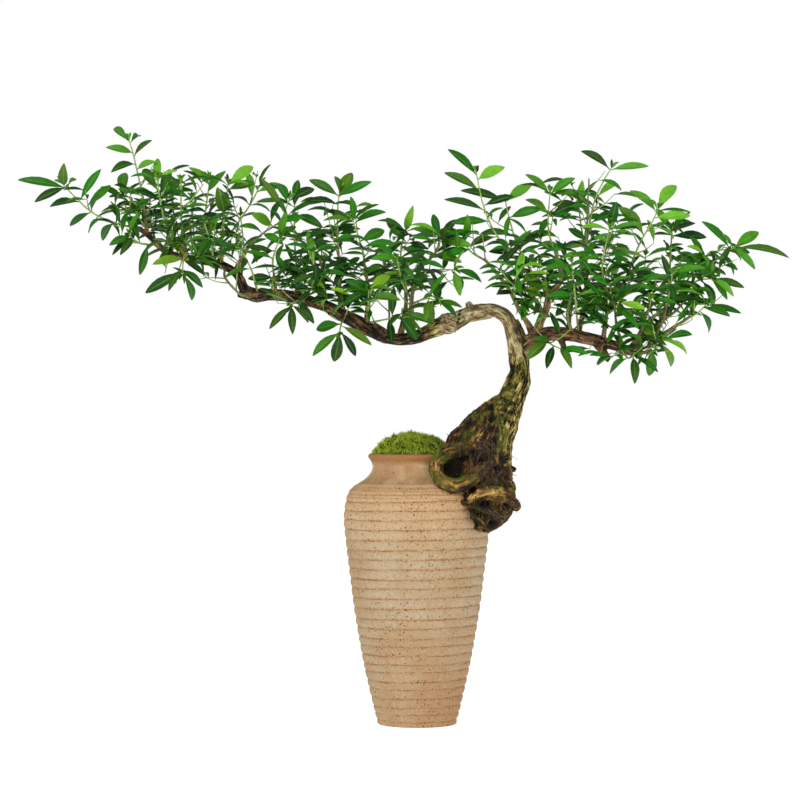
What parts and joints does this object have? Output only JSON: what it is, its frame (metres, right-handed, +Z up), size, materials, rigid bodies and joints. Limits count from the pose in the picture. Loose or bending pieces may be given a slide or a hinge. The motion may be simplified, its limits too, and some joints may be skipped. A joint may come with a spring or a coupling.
{
  "type": "serissa bonsai",
  "caption": "Small leafy tree with a long arching left limb and a short right limb, its root mass set in the broken shoulder of a tall ringed stoneware vase with a moss top.",
  "frame": {"origin": "centre of the vase's flat foot, on the surface that it stands on", "axes": "+X to the right along the spread of the limbs, +Y away from the front, +Z up"},
  "size_m": [0.4288, 0.1041, 0.3334],
  "materials": {
    "stoneware": "matte",
    "potting_soil": "matte",
    "moss": "matte",
    "bark": "matte",
    "leaf": "satin"
  },
  "bodies": {
    "root": {"vase": "stoneware", "soil": "potting_soil", "moss": "moss", "tree_wood": "bark", "left_spray_1": "leaf", "left_spray_2": "leaf", "left_spray_3": "leaf", "left_spray_4": "leaf", "left_spray_5": "leaf", "left_spray_6": "leaf", "left_spray_7": "leaf", "left_spray_8": "leaf", "left_spray_9": "leaf", "left_spray_10": "leaf", "left_spray_11": "leaf", "left_spray_12": "leaf", "left_spray_13": "leaf", "left_spray_14": "leaf", "left_spray_15": "leaf", "left_spray_16": "leaf", "left_spray_17": "leaf", "left_spray_18": "leaf", "left_spray_19": "leaf", "middle_spray_1": "leaf", "middle_spray_2": "leaf", "middle_spray_3": "leaf", "middle_spray_4": "leaf", "middle_spray_5": "leaf", "middle_spray_6": "leaf", "middle_spray_7": "leaf", "middle_spray_8": "leaf", "middle_spray_9": "leaf", "middle_spray_10": "leaf", "middle_spray_11": "leaf", "middle_spray_12": "leaf", "middle_spray_13": "leaf", "middle_spray_14": "leaf", "right_spray_1": "leaf", "right_spray_2": "leaf", "right_spray_3": "leaf", "right_spray_4": "leaf", "right_spray_5": "leaf", "right_spray_6": "leaf", "right_spray_7": "leaf", "right_spray_8": "leaf", "right_spray_9": "leaf", "right_spray_10": "leaf", "right_spray_11": "leaf", "right_spray_12": "leaf", "right_spray_13": "leaf", "right_spray_14": "leaf", "right_spray_15": "leaf", "right_spray_16": "leaf", "right_spray_17": "leaf", "right_spray_18": "leaf", "right_spray_19": "leaf", "right_spray_20": "leaf", "right_spray_21": "leaf", "right_spray_22": "leaf"}
  },
  "joints": []
}
